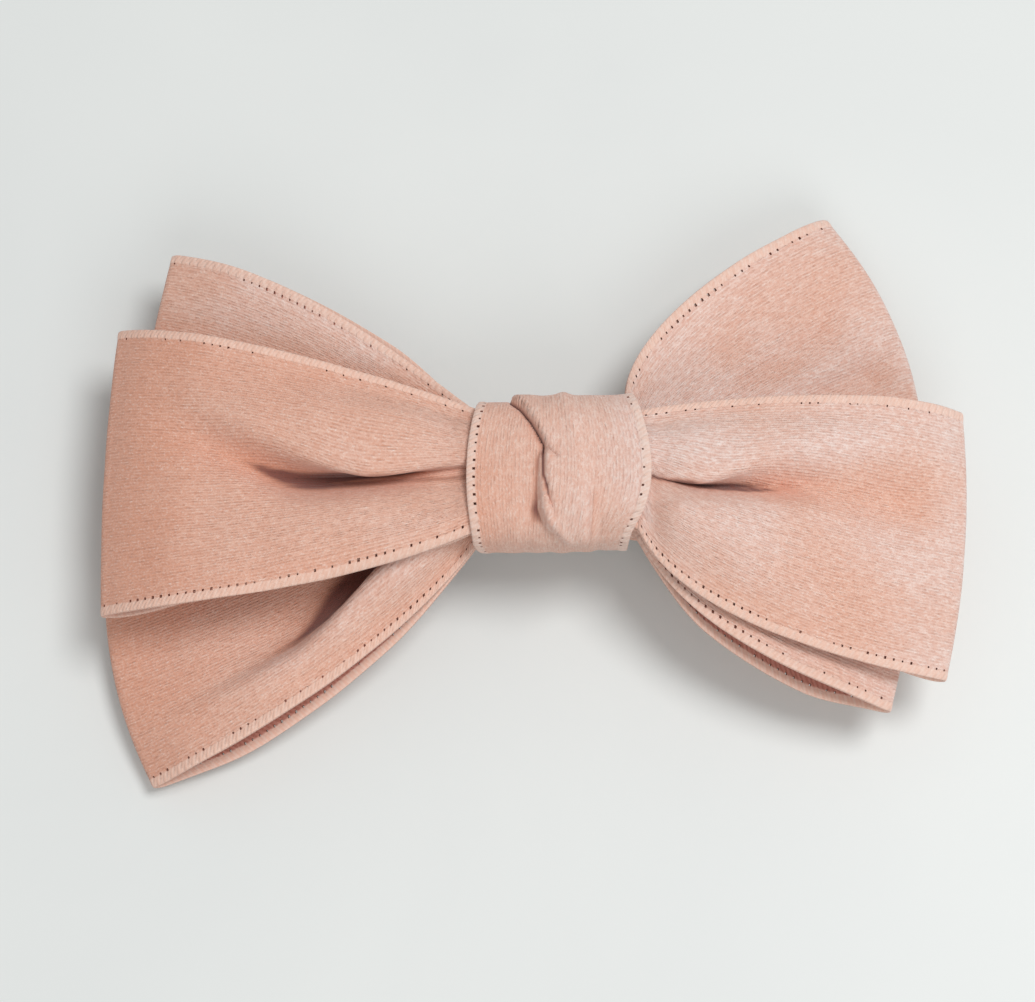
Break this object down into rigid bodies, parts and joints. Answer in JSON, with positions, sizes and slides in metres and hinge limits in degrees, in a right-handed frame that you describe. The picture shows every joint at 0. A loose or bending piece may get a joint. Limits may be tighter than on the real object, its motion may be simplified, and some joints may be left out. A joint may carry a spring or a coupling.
{
  "type": "hair barrette",
  "caption": "Ribbon-bow hair barrette: fanned hem-stitched ribbon bows, pinched by a knotted ribbon wrap, on an arched spring-clasp hair clip.",
  "frame": {"origin": "bottom centre of the bounding box: middle in X and Y, on the plane that the clip's ears and catch tabs touch", "axes": "+X along the clip, from its hinge to its catch, and along the bow; +Y across it, towards the hair-top side; +Z out of the bow's front, away from the hair"},
  "size_m": [0.1218, 0.0828, 0.0274],
  "materials": {
    "front_bow": "brushed, finely ribbed woven ribbon",
    "middle_bow": "brushed, finely ribbed woven ribbon",
    "back_bow": "brushed, finely ribbed woven ribbon",
    "knot_wrap": "brushed, finely ribbed woven ribbon",
    "cinch_thread": "twisted sewing thread",
    "felt_pad": "felt",
    "base_plate": "bright nickel plate",
    "hinge_pin": "bright nickel plate",
    "clasp_arm": "bright nickel plate",
    "tension_strip": "bright nickel plate",
    "strip_rivet": "bright nickel plate",
    "catch_bracket": "bright nickel plate",
    "catch_rivet": "bright nickel plate",
    "catch_tab_near": "bright nickel plate",
    "catch_tab_far": "bright nickel plate"
  },
  "bodies": {
    "base": {"base_plate": "base_plate", "hinge_pin": "hinge_pin", "strip_rivet": "strip_rivet", "catch_bracket": "catch_bracket", "catch_rivet": "catch_rivet", "felt_pad": "felt_pad", "back_bow": "back_bow", "middle_bow": "middle_bow", "front_bow": "front_bow", "cinch_thread": "cinch_thread", "knot_wrap": "knot_wrap"},
    "clasp_arm": {"clasp_arm": "clasp_arm"},
    "tension_strip": {"tension_strip": "tension_strip"},
    "catch_tab_near": {"catch_tab_near": "catch_tab_near"},
    "catch_tab_far": {"catch_tab_far": "catch_tab_far"}
  },
  "joints": [
    {"name": "clasp_hinge", "type": "hinge", "parent": "base", "child": "clasp_arm", "pos_m": [-0.03494, -0.00103, 0.002], "axis": [0, 1, 0], "range_deg": [0, 60]},
    {"name": "strip_flex", "type": "hinge", "parent": "base", "child": "tension_strip", "pos_m": [-0.02794, -0.00103, 0.0053], "axis": [0, -1, 0], "range_deg": [0, 1.6], "stiffness_Nm_per_rad": 0.1},
    {"name": "tab_near_flex", "type": "hinge", "parent": "base", "child": "catch_tab_near", "pos_m": [0.03906, -0.00348, 0.00485], "axis": [1, 0, 0], "range_deg": [0, 14], "stiffness_Nm_per_rad": 0.02},
    {"name": "tab_far_flex", "type": "hinge", "parent": "base", "child": "catch_tab_far", "pos_m": [0.03906, 0.00142, 0.00485], "axis": [-1, 0, 0], "range_deg": [0, 14], "stiffness_Nm_per_rad": 0.02}
  ]
}
